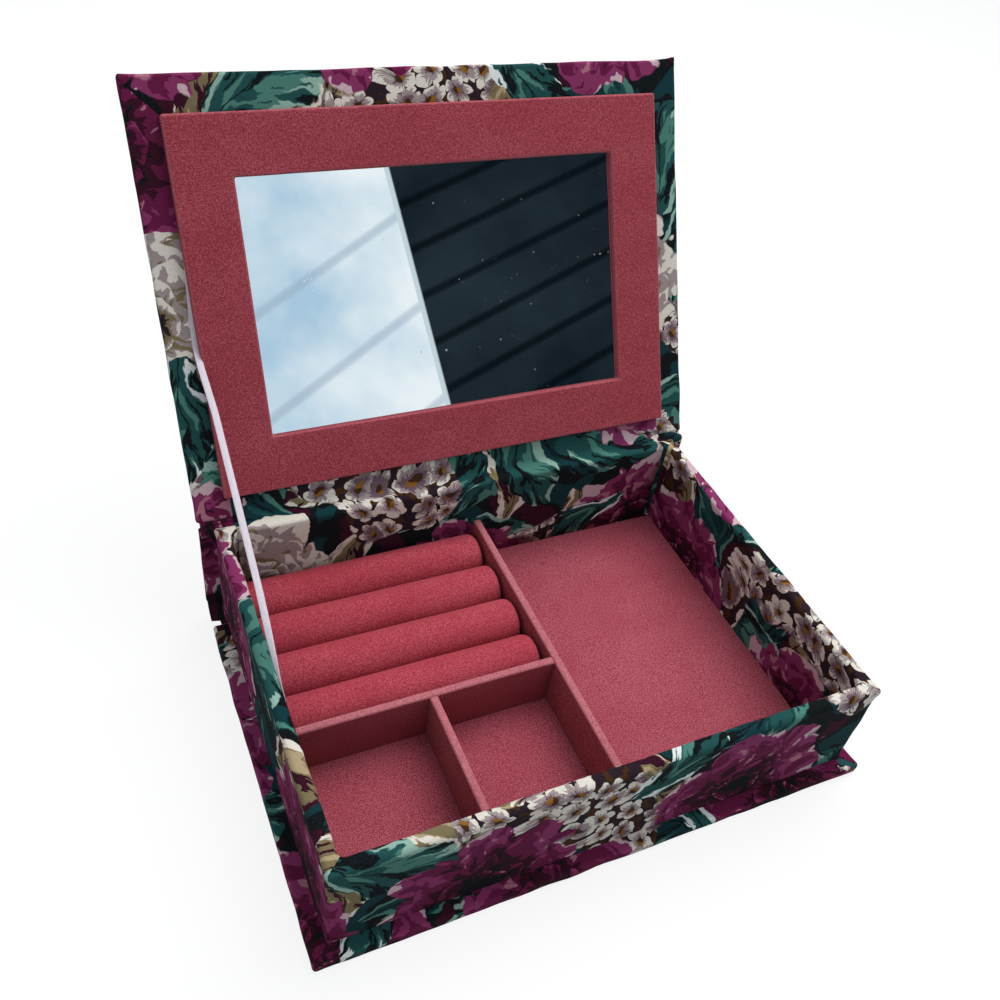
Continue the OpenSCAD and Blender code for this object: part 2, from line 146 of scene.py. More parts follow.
class Thread:
    """A number, colour or vector that runs over a surface."""

    def __init__(self, loom, socket):
        self.loom = loom
        self.socket = socket

    def math(self, operation, *others):
        return self.loom.math(operation, self, *others)

    def __add__(self, other):
        return self.math("ADD", other)

    def __sub__(self, other):
        return self.math("SUBTRACT", other)

    def __rsub__(self, other):
        return self.loom.math("SUBTRACT", other, self)

    def __mul__(self, other):
        return self.math("MULTIPLY", other)

    def __truediv__(self, other):
        return self.math("DIVIDE", other)

    def __pow__(self, other):
        return self.math("POWER", other)

    def __abs__(self):
        return self.math("ABSOLUTE")


class Loom:
    """The node tree of one material."""

    def __init__(self, name):
        self.material = bpy.data.materials.new(name)
        self.material.use_nodes = True
        self.take(self.material.node_tree)

    def take(self, tree):
        self.tree = tree
        tree.nodes.clear()
        return self

    @classmethod
    def on(cls, tree):
        """A loom on a tree that is there already."""
        return cls.__new__(cls).take(tree)

    def node(self, kind, settings, values, *outputs):
        """Adds a node: its settings first, then the values or links of its sockets."""
        made = self.tree.nodes.new(kind)
        for key, value in settings.items():
            setattr(made, key, value)
        for key, value in values.items():
            socket = made.inputs[key] if isinstance(key, int) else next(
                s for s in made.inputs if key in (s.identifier, s.name))
            if isinstance(value, Thread):
                self.tree.links.new(value.socket, socket)
            else:
                socket.default_value = value
        found = [Thread(self, next(s for s in made.outputs if o in (s.identifier, s.name)))
                 for o in outputs]
        return found[0] if len(found) == 1 else found

    def math(self, operation, *values):
        return self.node("ShaderNodeMath", {"operation": operation},
                         dict(enumerate(values)), "Value")

    def vector(self, operation, a, b):
        key = "Scale" if operation == "SCALE" else 1
        return self.node("ShaderNodeVectorMath", {"operation": operation}, {0: a, key: b}, "Vector")

    def split(self, vector):
        return self.node("ShaderNodeSeparateXYZ", {}, {"Vector": vector}, "X", "Y", "Z")

    def join(self, x, y, z=0.0):
        return self.node("ShaderNodeCombineXYZ", {}, {"X": x, "Y": y, "Z": z}, "Vector")

    def mix(self, factor, a, b):
        return self.node("ShaderNodeMix", {"data_type": "RGBA"},
                         {"Factor_Float": factor, "A_Color": a, "B_Color": b}, "Result_Color")

    def over(self, value, at, soft):
        """0 well under at, 1 well over it."""
        return self.node("ShaderNodeMapRange", {},
                         {"Value": value, "From Min": at - soft, "From Max": at + soft}, "Result")

    def noise(self, vector, scale, detail=2.0, flat=True, output="Fac"):
        return self.node("ShaderNodeTexNoise", {"noise_dimensions": "2D" if flat else "3D"},
                         {"Vector": vector, "Scale": scale, "Detail": detail}, output)

    def in_millimetres(self):
        """Object coordinates in millimetres."""
        place = self.node("ShaderNodeTexCoord", {}, {}, "Object")
        return self.vector("SCALE", place, 1 / MM)

    def on_cloth(self):
        """Place on the unfolded cloth, in centimetres."""
        return self.node("ShaderNodeUVMap", {"uv_map": "cloth"}, {}, "UV")

    def bump(self, height, strength, distance):
        return self.node("ShaderNodeBump", {},
                         {"Height": height, "Strength": strength, "Distance": distance}, "Normal")

    def glow(self, colour):
        """The plain light of a card or a white ground."""
        return self.node("ShaderNodeEmission", {}, {"Color": colour, "Strength": 1.0}, "Emission")

    def blend(self, factor, a, b):
        """Two shaders mixed."""
        return self.node("ShaderNodeMixShader", {}, {0: factor, 1: a, 2: b}, "Shader")

    def surface(self, shader, output="ShaderNodeOutputMaterial"):
        self.node(output, {}, {"Surface": shader})

    def finish(self, **sockets):
        """Ends the tree with a shader that has these sockets set, and gives the material."""
        values = {key.replace("_", " "): value for key, value in sockets.items()}
        self.surface(self.node("ShaderNodeBsdfPrincipled", {}, values, "BSDF"))
        return self.material


# ---- the printed cloth: a generic garden print in flat painted strokes

INK = dye("060f12")
DEEP_TEAL = dye("07353a")
TEAL = dye("1d4d4b")
SAGE = dye("4b7f72")
PALE_SAGE = dye("93b5a6")
BURGUNDY = dye("36071e")
PLUM = dye("661540")
MAGENTA = dye("883260")
DUSTY_PINK = dye("ad6f80")
PALE_PINK = dye("cfb0b6")
CREAM = dye("e2dacd")
WHITE = dye("e4e8e6")
KHAKI = dye("7d6f50")
TAN = dye("b09c78")
OCHRE = dye("8d5f1e")
BROWN = dye("43280f")
AUBERGINE = dye("281923")
MAUVE = dye("6d5661")
TAUPE = dye("a0918f")
BLACK = (0.0, 0.0, 0.0, 1.0)
PAPER_WHITE = (1.0, 1.0, 1.0, 1.0)

# softness of a painted edge, and of a choice that is either the one or the other
CRISP = 0.01
SHARP = 0.001


def motif_cell(loom, place, spacing, shift, jitter):
    """Place in the nearest motif, turned at random, and a random number for that motif."""
    moved = loom.vector("ADD", place, (shift, 1.7 * shift, 0.0))
    middle, chance = loom.node("ShaderNodeTexVoronoi", {"voronoi_dimensions": "2D"},
                               {"Vector": moved, "Scale": 1 / spacing, "Randomness": jitter},
                               "Position", "Color")
    local = loom.vector("SUBTRACT", moved, middle)
    turn, luck, _ = loom.split(chance)
    turned = loom.node("ShaderNodeVectorRotate", {"rotation_type": "Z_AXIS"},
                       {"Vector": local, "Angle": turn * TURN}, "Vector")
    x, y, _ = loom.split(turned)
    return x, y, luck


def polar(loom, x, y):
    return loom.math("SQRT", x * x + y * y), loom.math("ARCTAN2", y, x)


def leaves(loom, under, place, spacing, shift, size, tones, rare=0.0):
    """Pointed leaves in flat painted tones: strokes from the midrib outward, one lit half, a light rim."""
    x, y, luck = motif_cell(loom, place, spacing, shift, 0.6)
    half_long, half_wide = size
    dark, mid, light, rim = tones
    across = y - x * x * (0.16 / half_long)
    along = x / half_long
    room = loom.math("MAXIMUM", 1.0 - along * along, 0.0)
    wavy = loom.noise(loom.join(x, luck * 9.0), 1.1, 1.0) * 0.5 + 0.75
    gap = room ** 0.8 * half_wide * wavy - abs(across)
    inside = loom.over(gap, 0.0, 0.02)
    strokes = loom.noise(loom.join(x * 0.42 - abs(across) * 0.8, across * 0.55), 2.6 / half_wide, 2.5)
    lit = strokes + loom.over(across, 0.0, 0.02) * 0.09
    colour = loom.mix(loom.over(lit, 0.5, CRISP), dark, mid)
    colour = loom.mix(loom.over(lit, 0.64, CRISP), colour, light)
    colour = loom.mix(loom.over(lit - gap * 0.5, 0.5, CRISP), colour, rim)
    colour = loom.mix(loom.over(abs(across), 0.03, 0.015), dark, colour)
    if rare:
        inside = inside * loom.over(luck, rare, SHARP)
    return loom.mix(inside, under, colour)


# rings of petals from the outside in: reach as a share of the flower, petals, turn of the first one
PETAL_RINGS = [(1.0, 7, 0.0), (0.80, 6, 0.6), (0.60, 5, 1.3), (0.42, 5, 0.3), (0.25, 3, 1.0)]
PETAL_TONES = [
    (BURGUNDY, PLUM, MAGENTA, PALE_PINK),
    (BURGUNDY, PLUM, MAGENTA, DUSTY_PINK),
    (INK, BURGUNDY, PLUM, DUSTY_PINK),
    (INK, BURGUNDY, PLUM, MAGENTA),
    (INK, BURGUNDY, PLUM, DUSTY_PINK),
]
PALE_TONES = (AUBERGINE, KHAKI, TAUPE, CREAM)
# of the random numbers from 0 to 1, those over this give a pale flower
PALE_BLOOMS = 0.84


def petal_colour(loom, tone, tones):
    """Four flat tones, from a petal's root to its edge."""
    root, mid, light, edge = tones
    colour = loom.mix(loom.over(tone, 0.55, CRISP), root, mid)
    colour = loom.mix(loom.over(tone, 0.85, CRISP), colour, light)
    return loom.mix(loom.over(tone, 1.08, CRISP), colour, edge)


def blossoms(loom, under, place, spacing, shift, radius, rare=0.0):
    """Open flowers: rings of lobed petals, each painted from a dark root to a light edge."""
    x, y, luck = motif_cell(loom, place, spacing, shift, 0.35)
    r, angle = polar(loom, x, y)
    wander = loom.noise(loom.join(x, y), 0.9, 1.0) - 0.5
    streaks = loom.noise(loom.join(angle * 2.1, r * 0.45), 2.0, 2.5)
    present = loom.over(luck, rare, SHARP) if rare else 1.0
    pale = loom.over(luck, PALE_BLOOMS, SHARP)
    colour = under
    for (reach, petals, phase), tones in zip(PETAL_RINGS, PETAL_TONES):
        lobe = abs(loom.math("COSINE", (angle + phase + wander * 0.8) * (petals / 2)))
        size = radius * reach
        depth = r / (lobe ** 0.5 * (0.26 * size) + 0.76 * size + wander * 0.45)
        inside = loom.over(1.0 - depth, 0.0, 0.008) * present
        tone = depth * 1.1 - 0.62 + streaks - (1.0 - lobe) ** 3 * 0.5 + luck * 0.3
        petal = loom.mix(pale, petal_colour(loom, tone, tones), petal_colour(loom, tone, PALE_TONES))
        colour = loom.mix(inside, colour, petal)
    return colour


def small_flowers(loom, under, place, spacing, shift):
    """Clusters of small five-petalled flowers with ochre eyes."""
    x, y, luck = motif_cell(loom, place, spacing, shift, 0.55)
    r, angle = polar(loom, x, y)
    radius = 0.56 * spacing
    lobe = abs(loom.math("COSINE", angle * 2.5))
    depth = r / (lobe ** 0.55 * (0.48 * radius) + 0.5 * radius)
    cluster = loom.noise(loom.vector("ADD", place, (3.1 * shift, 4.0, 0.0)), 0.17, 1.0)
    here = loom.over(cluster, 0.55, 0.004)
    ground = loom.mix(loom.over(loom.noise(place, 2.2, 1.0), 0.56, 0.02), AUBERGINE, BROWN)
    colour = loom.mix(here, under, ground)
    inside = loom.over(1.0 - depth, 0.0, 0.015) * here
    streaks = loom.noise(loom.join(angle * 1.5, r), 3.0, 1.0)
    tone = depth + streaks * 0.7 - (1.0 - lobe) * 0.4 + luck * 0.5
    petal = loom.mix(loom.over(tone, 0.95, 0.02), MAUVE, TAUPE)
    petal = loom.mix(loom.over(tone, 1.25, 0.02), petal, CREAM)
    colour = loom.mix(inside, colour, petal)
    eye = loom.over(0.26 * radius - r, 0.0, 0.02) * here
    return loom.mix(eye, colour, loom.mix(loom.over(y, 0.02, 0.02), BROWN, OCHRE))


def garden_print(loom, place):
    """Dark ground, large leaves, clusters of small flowers, open flowers and a few leaves on top."""
    broad = loom.noise(place, 0.4, 1.0, output="Color")
    fine = loom.noise(place, 2.6, output="Color")
    for wander, amount in ((broad, 1.5), (fine, 0.2)):
        wander = loom.vector("SUBTRACT", wander, (0.5, 0.5, 0.5))
        place = loom.vector("ADD", place, loom.vector("SCALE", wander, amount))
    patches = loom.noise(place, 0.4)
    colour = loom.mix(loom.over(patches, 0.58, CRISP), INK, DEEP_TEAL)
    colour = loom.mix(loom.over(0.44 - patches, 0.0, CRISP), colour, BURGUNDY)
    colour = leaves(loom, colour, place, 5.6, 3.3, (3.3, 1.4), (INK, DEEP_TEAL, TEAL, SAGE), 0.3)
    colour = leaves(loom, colour, place, 6.2, 21.4, (3.3, 1.2), (BURGUNDY, KHAKI, TAN, CREAM), 0.48)
    colour = leaves(loom, colour, place, 5.8, 11.9, (3.5, 1.4), (INK, TEAL, SAGE, PALE_SAGE), 0.45)
    colour = small_flowers(loom, colour, place, 1.35, 7.7)
    colour = blossoms(loom, colour, place, 9.2, 31.0, 3.8)
    return leaves(loom, colour, place, 7.2, 41.3, (3.1, 1.05), (INK, TEAL, SAGE, WHITE), 0.66)


def weave_height(loom, place):
    """Plain weave of fine threads; place is in centimetres on the cloth."""
    x, y, _ = loom.split(place)
    thread = TURN / 0.045
    warp = loom.math("SINE", x * thread)
    weft = loom.math("SINE", y * thread)
    return warp * weft + loom.noise(place, 60.0, 1.0) * 1.2


def make_printed_cloth():
    loom = Loom("printed_cloth")
    place = loom.on_cloth()
    colour = garden_print(loom, place)
    weave = weave_height(loom, place)
    slub = loom.noise(loom.vector("MULTIPLY", place, (9.0, 26.0, 0.0)), 1.0, 2.0)
    colour = loom.mix(loom.over(weave * 0.5 + slub, 0.8, 0.6) * 0.35, colour, BLACK)
    colour = loom.mix(loom.over(slub - weave * 0.1, 0.58, 0.16) * 0.035, colour, dye("a39a98"))
    return loom.finish(Base_Color=colour, Roughness=0.9, Specular_IOR_Level=0.12,
                       Normal=loom.bump(weave, 0.25, 0.00012))


# ---- suede, ribbon, mirror and what the cloth hides

def make_suede(name, dark, mid, pale, brushed=0.2):
    """Suede cloth with a short nap: fine speckle, soft brushed patches, paler on rubbed edges, which is partly a
    painted highlight on edges and tops.
    """
    loom = Loom(name)
    place = loom.in_millimetres()
    speckle = loom.noise(place, 2.1, 3.0, flat=False)
    brushing = loom.noise(loom.vector("MULTIPLY", place, (0.03, 0.055, 0.05)), 1.0, 3.0, flat=False)
    colour = loom.mix(loom.over(speckle, 0.47, 0.19), dark, mid)
    colour = loom.mix(loom.over(speckle + brushing * brushed, 0.65 + 0.5 * brushed, 0.19), colour, pale)
    wear_and_highlight = loom.node("ShaderNodeAttribute", {"attribute_name": "wear_and_highlight"}, {}, "Fac")
    # pale rubbed suede on rounded edges and tops, partly a painted highlight
    colour = loom.mix(wear_and_highlight * (speckle * 1.6 - 0.2), colour, dye("c27d84"))
    nap = loom.noise(place, 6.5, 2.0, flat=False)
    return loom.finish(Base_Color=colour, Roughness=0.95, Specular_IOR_Level=0.15,
                       Sheen_Weight=0.2, Sheen_Roughness=0.4, Sheen_Tint=dye("d98a84"),
                       Normal=loom.bump(nap + speckle * 0.5, 0.3, 0.00012))


def make_ribbon():
    """Satin: fine crossing threads, and edges that are a little pinker."""
    loom = Loom("satin_ribbon")
    along, across, _ = loom.split(loom.on_cloth())
    warp, weft = 0.032, 0.045
    threads = loom.math("SINE", across * (TURN / warp))
    picks = loom.math("SINE", along * (TURN / weft) + loom.math("FLOOR", across / warp) * 3.14)
    weave = threads * 0.5 + picks * 0.5
    edge = loom.over(abs(across), 0.1, 0.012)
    tone = loom.noise(loom.join(along * 1.5, across * 6.0), 2.0) * 0.5 + weave * 0.2 + 0.25
    colour = loom.mix(loom.over(tone, 0.5, 0.3), dye("c1b9c2"), dye("ddd7db"))
    colour = loom.mix(edge * 0.7, colour, dye("d9b4c4"))
    return loom.finish(Base_Color=colour, Roughness=0.6, Specular_IOR_Level=0.3,
                       Normal=loom.bump(weave, 0.4, 0.0001))


def make_mirror():
    """Silvered glass with fine dust and a faint haze where it was wiped."""
    loom = Loom("mirror")
    place = loom.in_millimetres()
    speck, chance = loom.node("ShaderNodeTexVoronoi", {}, {"Vector": place, "Scale": 0.7},
                              "Distance", "Color")
    luck, _, _ = loom.split(chance)
    wipe = loom.noise(loom.vector("MULTIPLY", place, (0.02, 0.16, 0.16)), 1.0, 3.0, flat=False)
    dust = loom.over((luck + wipe * 0.6 - 1.25) * 2.4 - speck, 0.0, 0.03)
    haze = loom.over(wipe, 0.58, 0.2) * 0.0015
    return loom.finish(Base_Color=(0.88, 0.9, 0.91, 1.0), Metallic=1.0 - dust * 0.16 - haze,
                       Roughness=dust * 0.2 + haze * 0.5 + 0.004)


def make_grey_board():
    loom = Loom("grey_board")
    place = loom.in_millimetres()
    fibres = loom.noise(place, 2.2, 4.0, flat=False)
    return loom.finish(Base_Color=loom.mix(fibres, dye("8d8677"), dye("b3ac9c")), Roughness=0.9,
                       Normal=loom.bump(fibres, 0.4, 0.0002))


def make_foam():
    loom = Loom("foam")
    place = loom.in_millimetres()
    cells = loom.node("ShaderNodeTexVoronoi", {}, {"Vector": place, "Scale": 2.5}, "Distance")
    return loom.finish(Base_Color=loom.mix(cells, dye("e2d9c2"), dye("b5a888")), Roughness=0.95,
                       Normal=loom.bump(cells, 0.6, 0.0003))


PRINTED = make_printed_cloth()
SUEDE = make_suede("crimson_suede", dye("752831"), dye("9a3b45"), dye("b8626b"))
# the floor and roll copies are paler: painted light, for faces that lie open to the lamp above
LIT_FLOOR_SUEDE = make_suede("crimson_suede_floor_painted_light", dye("792f38"), dye("a34351"), dye("cb7a86"), 0.15)
LIT_ROLL_SUEDE = make_suede("crimson_suede_rolls_painted_light", dye("852a35"), dye("a93c49"), dye("c4606c"), 0.3)
RIBBON = make_ribbon()
MIRROR = make_mirror()
GREY_BOARD = make_grey_board()
FOAM = make_foam()


# ---- shaping tools

def bevel(bm, edges, offset, segments):
    return bmesh.ops.bevel(bm, geom=edges, offset=offset, segments=segments, profile=0.5,
                           affect="EDGES", material=-1)


def upright(edge):
    a, b = edge.verts
    return (a.co - b.co).normalized().z ** 2 > 0.99


def middle(edge):
    return (edge.verts[0].co + edge.verts[1].co) / 2


def plain_board(width, length, thick, corner, edge):
    """A board centred on the origin, from z = 0 up, with rounded corners and edges."""
    bm = bmesh.new()
    place = Matrix.Translation((0, 0, thick / 2)) @ Matrix.Diagonal((width, length, thick, 1))
    bmesh.ops.create_cube(bm, size=1, matrix=place)
    bevel(bm, [e for e in bm.edges if upright(e)], corner, 4)
    bevel(bm, [e for e in sharp(bm) if not upright(e)], edge, 4)
    return bm


def cut(bm, at, way, geom=None, snap=0.001):
    """Cuts the mesh, or some of it, by the plane through at that faces way."""
    bmesh.ops.bisect_plane(bm, geom=geom or bm.verts[:] + bm.edges[:] + bm.faces[:],
                           plane_co=at, plane_no=way, dist=snap)


def only(kind, geom):
    """The vertices, edges or faces in what an operator made."""
    return [g for g in geom if isinstance(g, kind)]


def grow(bm, edges):
    """Draws new faces out of edges, and gives the new edges and vertices, to be moved into place."""
    made = bmesh.ops.extrude_edge_only(bm, edges=edges)["geom"]
    return only(bmesh.types.BMEdge, made), only(bmesh.types.BMVert, made)


def slice_up(bm, step, axes=(0, 1)):
    """Cuts the mesh at even steps, so that it can be ruffled."""
    for axis in axes:
        reach = [v.co[axis] for v in bm.verts]
        low, high = min(reach), max(reach)
        count = max(1, round((high - low) / step))
        way = Vector([float(axis == k) for k in range(3)])
        for i in range(1, count):
            cut(bm, way * (low + (high - low) * i / count), way)


def ruffle(bm, amount, size, seed, rise=0.0):
    """Moves the surface in and out by a soft unevenness, as cloth glued by hand has."""
    bm.normal_update()
    for vert in bm.verts:
        wave = noise.noise(vert.co / size + Vector((seed, 3.7 * seed, 0.0)))
        vert.co += vert.normal * (wave * amount + rise)


def press_line(bm, start, end):
    """Presses a thin groove into upward faces from start to end, as where two folds of cloth meet."""
    run = Vector((end[0] - start[0], end[1] - start[1], 0))
    way = Vector((-run.y, run.x, 0)).normalized()
    start = Vector((*start, 0))

    def along(spot):
        return (spot - start).dot(run) / run.length_squared

    for shift in (-0.35, 0.0, 0.35):
        bm.normal_update()
        near = [f for f in bm.faces if f.normal.z > 0.4 and -0.3 < along(f.calc_center_median()) < 1.3
                and abs((f.calc_center_median() - start).dot(way)) < 6]
        geom = near + list({e for f in near for e in f.edges}) + list({v for f in near for v in f.verts})
        cut(bm, start + way * shift, way, geom)
    bm.normal_update()
    for vert in bm.verts:
        spot = Vector((vert.co.x, vert.co.y, 0))
        on_line = abs((spot - start).dot(way)) < 0.01 and -0.02 < along(spot) < 1.0
        if on_line and vert.normal.z > 0.3:
            vert.co.z -= GROOVE


def gather(bm, corner, reach, push):
    """Draws the cloth out at a corner, where its folds lie on each other."""
    for vert in bm.verts:
        near = 1.0 - (vert.co - Vector(corner)).length / reach
        if near > 0:
            vert.co += Vector(push) * near ** 1.5


def level(bm, top, bottom=-1.0):
    """Keeps a piece between two heights, where it lies on the ground or another piece lies on it."""
    for vert in bm.verts:
        vert.co.z = max(bottom, min(vert.co.z, top))


def round_off(bm, edges, radius, wear_and_highlight_share):
    """Rounds edges and marks the new surface to be paled, from 0 to 1: rubbed suede with a painted highlight."""
    wear_and_highlight = bm.verts.layers.float.new("wear_and_highlight")
    made = bevel(bm, edges, radius, 4)
    fresh = set(made["faces"])
    for vert in made["verts"]:
        if all(f in fresh for f in vert.link_faces):
            vert[wear_and_highlight] = wear_and_highlight_share


def sharp(bm):
    """Edges between two faces that turn by more than a radian."""
    return [e for e in bm.edges if len(e.link_faces) == 2 and e.calc_face_angle() > 1]


def block(low, high):
    """A plain block between two corners."""
    bm = bmesh.new()
    place = Matrix.Translation((low + high) / 2) @ Matrix.Diagonal((*(high - low), 1))
    bmesh.ops.create_cube(bm, size=1, matrix=place)
    return bm


def unfold_board(bm, width, length, thick, start, mitre=0.0):
    """Lays the print on a covered board as one sheet: outer face below, edges, turned-in margin."""
    uv = bm.loops.layers.uv.new("cloth")
    for face in bm.faces:
        mid = face.calc_center_median()
        gap_x, gap_y = width / 2 - abs(mid.x), length / 2 - abs(mid.y)
        folds_x = gap_x < gap_y - mitre
        turned_in = face.normal.z > FACES_UP
        for loop in face.loops:
            p = loop.vert.co
            a, b = p.x, p.y
            if face.normal.z > FACES_DOWN:
                fold = thick if turned_in else p.z
                if folds_x:
                    side = math.copysign(1, mid.x)
                    rest = width / 2 - abs(p.x) if turned_in else 0
                    a = side * (width / 2 + fold + rest)
                else:
                    side = math.copysign(1, mid.y)
                    rest = length / 2 - abs(p.y) if turned_in else 0
                    b = side * (length / 2 + fold + rest)
            loop[uv].uv = ((a + start[0]) / 10, (b + start[1]) / 10)


def show(name, bm, material):
    """Ends the mesh, and links an object that shows it in one material."""
    mesh = bpy.data.meshes.new(name)
    bm.to_mesh(mesh)
    bm.free()
    mesh.materials.append(material)
    made = bpy.data.objects.new(name, mesh)
    bpy.context.scene.collection.objects.link(made)
    return made


def put(name, bm, material, body, replaced, place=None):
    """Puts a piece drawn in millimetres into the scene, in metres; one that bends rides on no body."""
    matrix = Matrix.Scale(MM, 4) @ (place or Matrix.Identity(4))
    bmesh.ops.transform(bm, matrix=matrix, verts=bm.verts)
    for face in bm.faces:
        face.smooth = True
    made = show(name, bm, material)
    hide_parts(*replaced)
    if body:
        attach(made, body)
    return made


def even_shading(piece):
    piece.modifiers.new("even_shading", "WEIGHTED_NORMAL").keep_sharp = True


# ---- base, lid and spine in printed cloth

def make_base_wrap():
    """The base, with a mitre of folded cloth at each front corner."""
    edge_x, edge_y, mitre = CASE_W / 2, (BASE_HIGH.y - BASE_LOW.y) / 2, 7.0
    bm = plain_board(CASE_W, 2 * edge_y, BASE_T, BASE_CORNER, CASE_EDGE)
    slice_up(bm, 4.0)
    ruffle(bm, 0.5, 13.0, seed=1.0, rise=0.05)
    for side in (-1, 1):
        press_line(bm, (side * edge_x, -edge_y), (side * (edge_x - mitre), mitre - edge_y))
    bm.normal_update()
    unfold_board(bm, CASE_W, 2 * edge_y, BASE_T, (0.0, 12.0))
    for side in (-1, 1):
        gather(bm, (side * edge_x, -edge_y, BASE_T), 6.0, (0.3 * side, -0.2, 0.5))
    level(bm, BASE_T + 1.0, bottom=0.0)
    place = Matrix.Translation((0, (BASE_LOW.y + BASE_HIGH.y) / 2, 0))
    even_shading(put("base_wrap", bm, PRINTED, "box", ["base_cover"], place))


def make_lid_wrap():
    """The lid, with mitres that run under the corners of the mirror panel."""
    edge_x, edge_y, mitre = CASE_W / 2, LID_LEN / 2, 1.5
    bm = plain_board(CASE_W, LID_LEN, LID_T, LID_CORNER, CASE_EDGE)
    slice_up(bm, 4.0)
    ruffle(bm, 0.4, 13.0, seed=2.0, rise=0.05)
    level(bm, LID_T + 0.1)
    start_y, reach = edge_y - mitre, LID_LEN - PANEL_V1 - mitre
    for side in (-1, 1):
        press_line(bm, (side * edge_x, start_y), (side * (edge_x - reach), start_y - reach))
    bm.normal_update()
    unfold_board(bm, CASE_W, LID_LEN, LID_T, (7.0, 245.0), mitre)
    for side, lift in ((-1, 0.5), (1, 1.1)):
        gather(bm, (side * (edge_x - 0.5), edge_y, LID_T), 5.5, (0.2 * side, lift, 0.5))
    place = ON_LID @ Matrix.Translation((0, LID_LEN / 2, -LID_T))
    even_shading(put("lid_wrap", bm, PRINTED, "lid", ["lid_cover"], place))


def make_spine_wrap():
    height = SPINE_HIGH.z - SPINE_LOW.z
    thick = SPINE_HIGH.y - SPINE_LOW.y
    bm = plain_board(CASE_W, height, thick, SPINE_EDGE, SPINE_EDGE)
    slice_up(bm, 5.0)
    ruffle(bm, 0.3, 12.0, seed=3.0)
    unfold_board(bm, CASE_W, height, thick, (0.0, 118.0))
    place = (Matrix.Translation((0, SPINE_HIGH.y, (SPINE_LOW.z + SPINE_HIGH.z) / 2))
             @ Matrix.Rotation(math.radians(90), 4, "X"))
    even_shading(put("spine_wrap", bm, PRINTED, "box", ["spine_cover"], place))


# ---- tray

def make_tray_wrap():
    """Four walls in cloth, inside and out, with a soft rim."""
    width, depth = TRAY_HIGH.x - TRAY_LOW.x, TRAY_HIGH.y - TRAY_LOW.y
    height = RIM_Z - BASE_T
    bm = bmesh.new()
    place = Matrix.Translation((0, 0, height / 2)) @ Matrix.Diagonal((width, depth, height, 1))
    bmesh.ops.create_cube(bm, size=1, matrix=place)
    bmesh.ops.delete(bm, geom=[f for f in bm.faces if f.normal.z < -0.9], context="FACES_ONLY")
    top = [f for f in bm.faces if f.normal.z > 0.9]
    bmesh.ops.inset_region(bm, faces=top, thickness=WALL_T, use_even_offset=True)
    floor = bmesh.ops.extrude_face_region(bm, geom=top)["geom"]
    bmesh.ops.translate(bm, vec=(0, 0, CARD_Z - RIM_Z), verts=only(bmesh.types.BMVert, floor))
    bmesh.ops.delete(bm, geom=top, context="FACES_ONLY")
    bmesh.ops.delete(bm, geom=only(bmesh.types.BMFace, floor), context="FACES_ONLY")
    inner = [e for e in bm.edges if upright(e) and abs(middle(e).x) < width / 2 - 1]
    bevel(bm, inner, INNER_CORNER, 6)
    outer = [e for e in bm.edges if upright(e) and abs(middle(e).x) > width / 2 - 0.01]
    bevel(bm, outer, RIM_ROUND, 4)
    bevel(bm, [e for e in sharp(bm) if abs(middle(e).z - height) < 0.01], SOFT_RIM, 6)
    slice_up(bm, 4.0, (0, 1, 2))
    pad_rim(bm, width, depth, height)
    ruffle(bm, 0.4, 11.0, seed=4.0, rise=0.2)
    corners = [(sx, sy) for sx in (-1, 1) for sy in (-1, 1)]
    for sx, sy in corners:
        x, y = sx * width / 2, sy * depth / 2
        press_line(bm, (x, y), (x - sx * WALL_T, y - sy * WALL_T))
    bm.normal_update()
    unfold_tray(bm, width, depth, height)
    for sx, sy in corners:
        gather(bm, (sx * width / 2, sy * depth / 2, height), 6.0, (0.3 * sx, 0.3 * sy, 0.3))
    level(bm, height + 0.3)
    lay_flat_behind_liner(bm, depth / 2 - WALL_T)
    mid_y = (TRAY_LOW.y + TRAY_HIGH.y) / 2
    even_shading(put("tray_wrap", bm, PRINTED, "box", ["tray_cover"],
                     Matrix.Translation((0, mid_y, BASE_T))))


def pad_rim(bm, width, depth, height):
    """Swells the top of the walls a little, where the turned-over cloth lies double."""
    for vert in bm.verts:
        swell = max(0.0, 1.0 - abs(height - 1.6 - vert.co.z) / 2.4) * 0.3
        gap_x, gap_y = width / 2 - abs(vert.co.x), depth / 2 - abs(vert.co.y)
        for axis, gap in ((0, gap_x), (1, gap_y)):
            if gap < 0.5 * WALL_T:
                vert.co[axis] += math.copysign(swell, vert.co[axis])
        vert.co.z += 0.4 * swell


def lay_flat_behind_liner(bm, back_y):
    """Keeps the back wall's inner face flat where the hinge liner covers it."""
    for vert in bm.verts:
        if abs(vert.co.x) < INNER_X - LINER_MARGIN and abs(vert.co.y - back_y) < 0.6 and vert.co.z > 2.0:
            vert.co.y = max(vert.co.y, back_y)


def unfold_tray(bm, width, depth, height):
    """Lays the print round the walls, up the outside, over the rim and down the inside."""
    start = (30.0, 300.0)
    uv = bm.loops.layers.uv.new("cloth")
    for face in bm.faces:
        mid = face.calc_center_median()
        gap_x, gap_y = width / 2 - abs(mid.x), depth / 2 - abs(mid.y)
        across = gap_x < gap_y
        outward = face.normal.x * mid.x if across else face.normal.y * mid.y
        for loop in face.loops:
            p = loop.vert.co
            gap = width / 2 - abs(p.x) if across else depth / 2 - abs(p.y)
            if not across:
                round_box = p.x if mid.y < 0 else width + depth - p.x
            elif mid.x > 0:
                round_box = (width + depth) / 2 + p.y
            else:
                round_box = -(width + depth) / 2 - p.y
            if face.normal.z > FACES_UP:
                up = height + gap
            elif outward > 0:
                up = p.z
            else:
                up = 2 * height + WALL_T - p.z
            loop[uv].uv = ((round_box + start[0]) / 10, (up + start[1]) / 10)


# ---- cloth across the joints

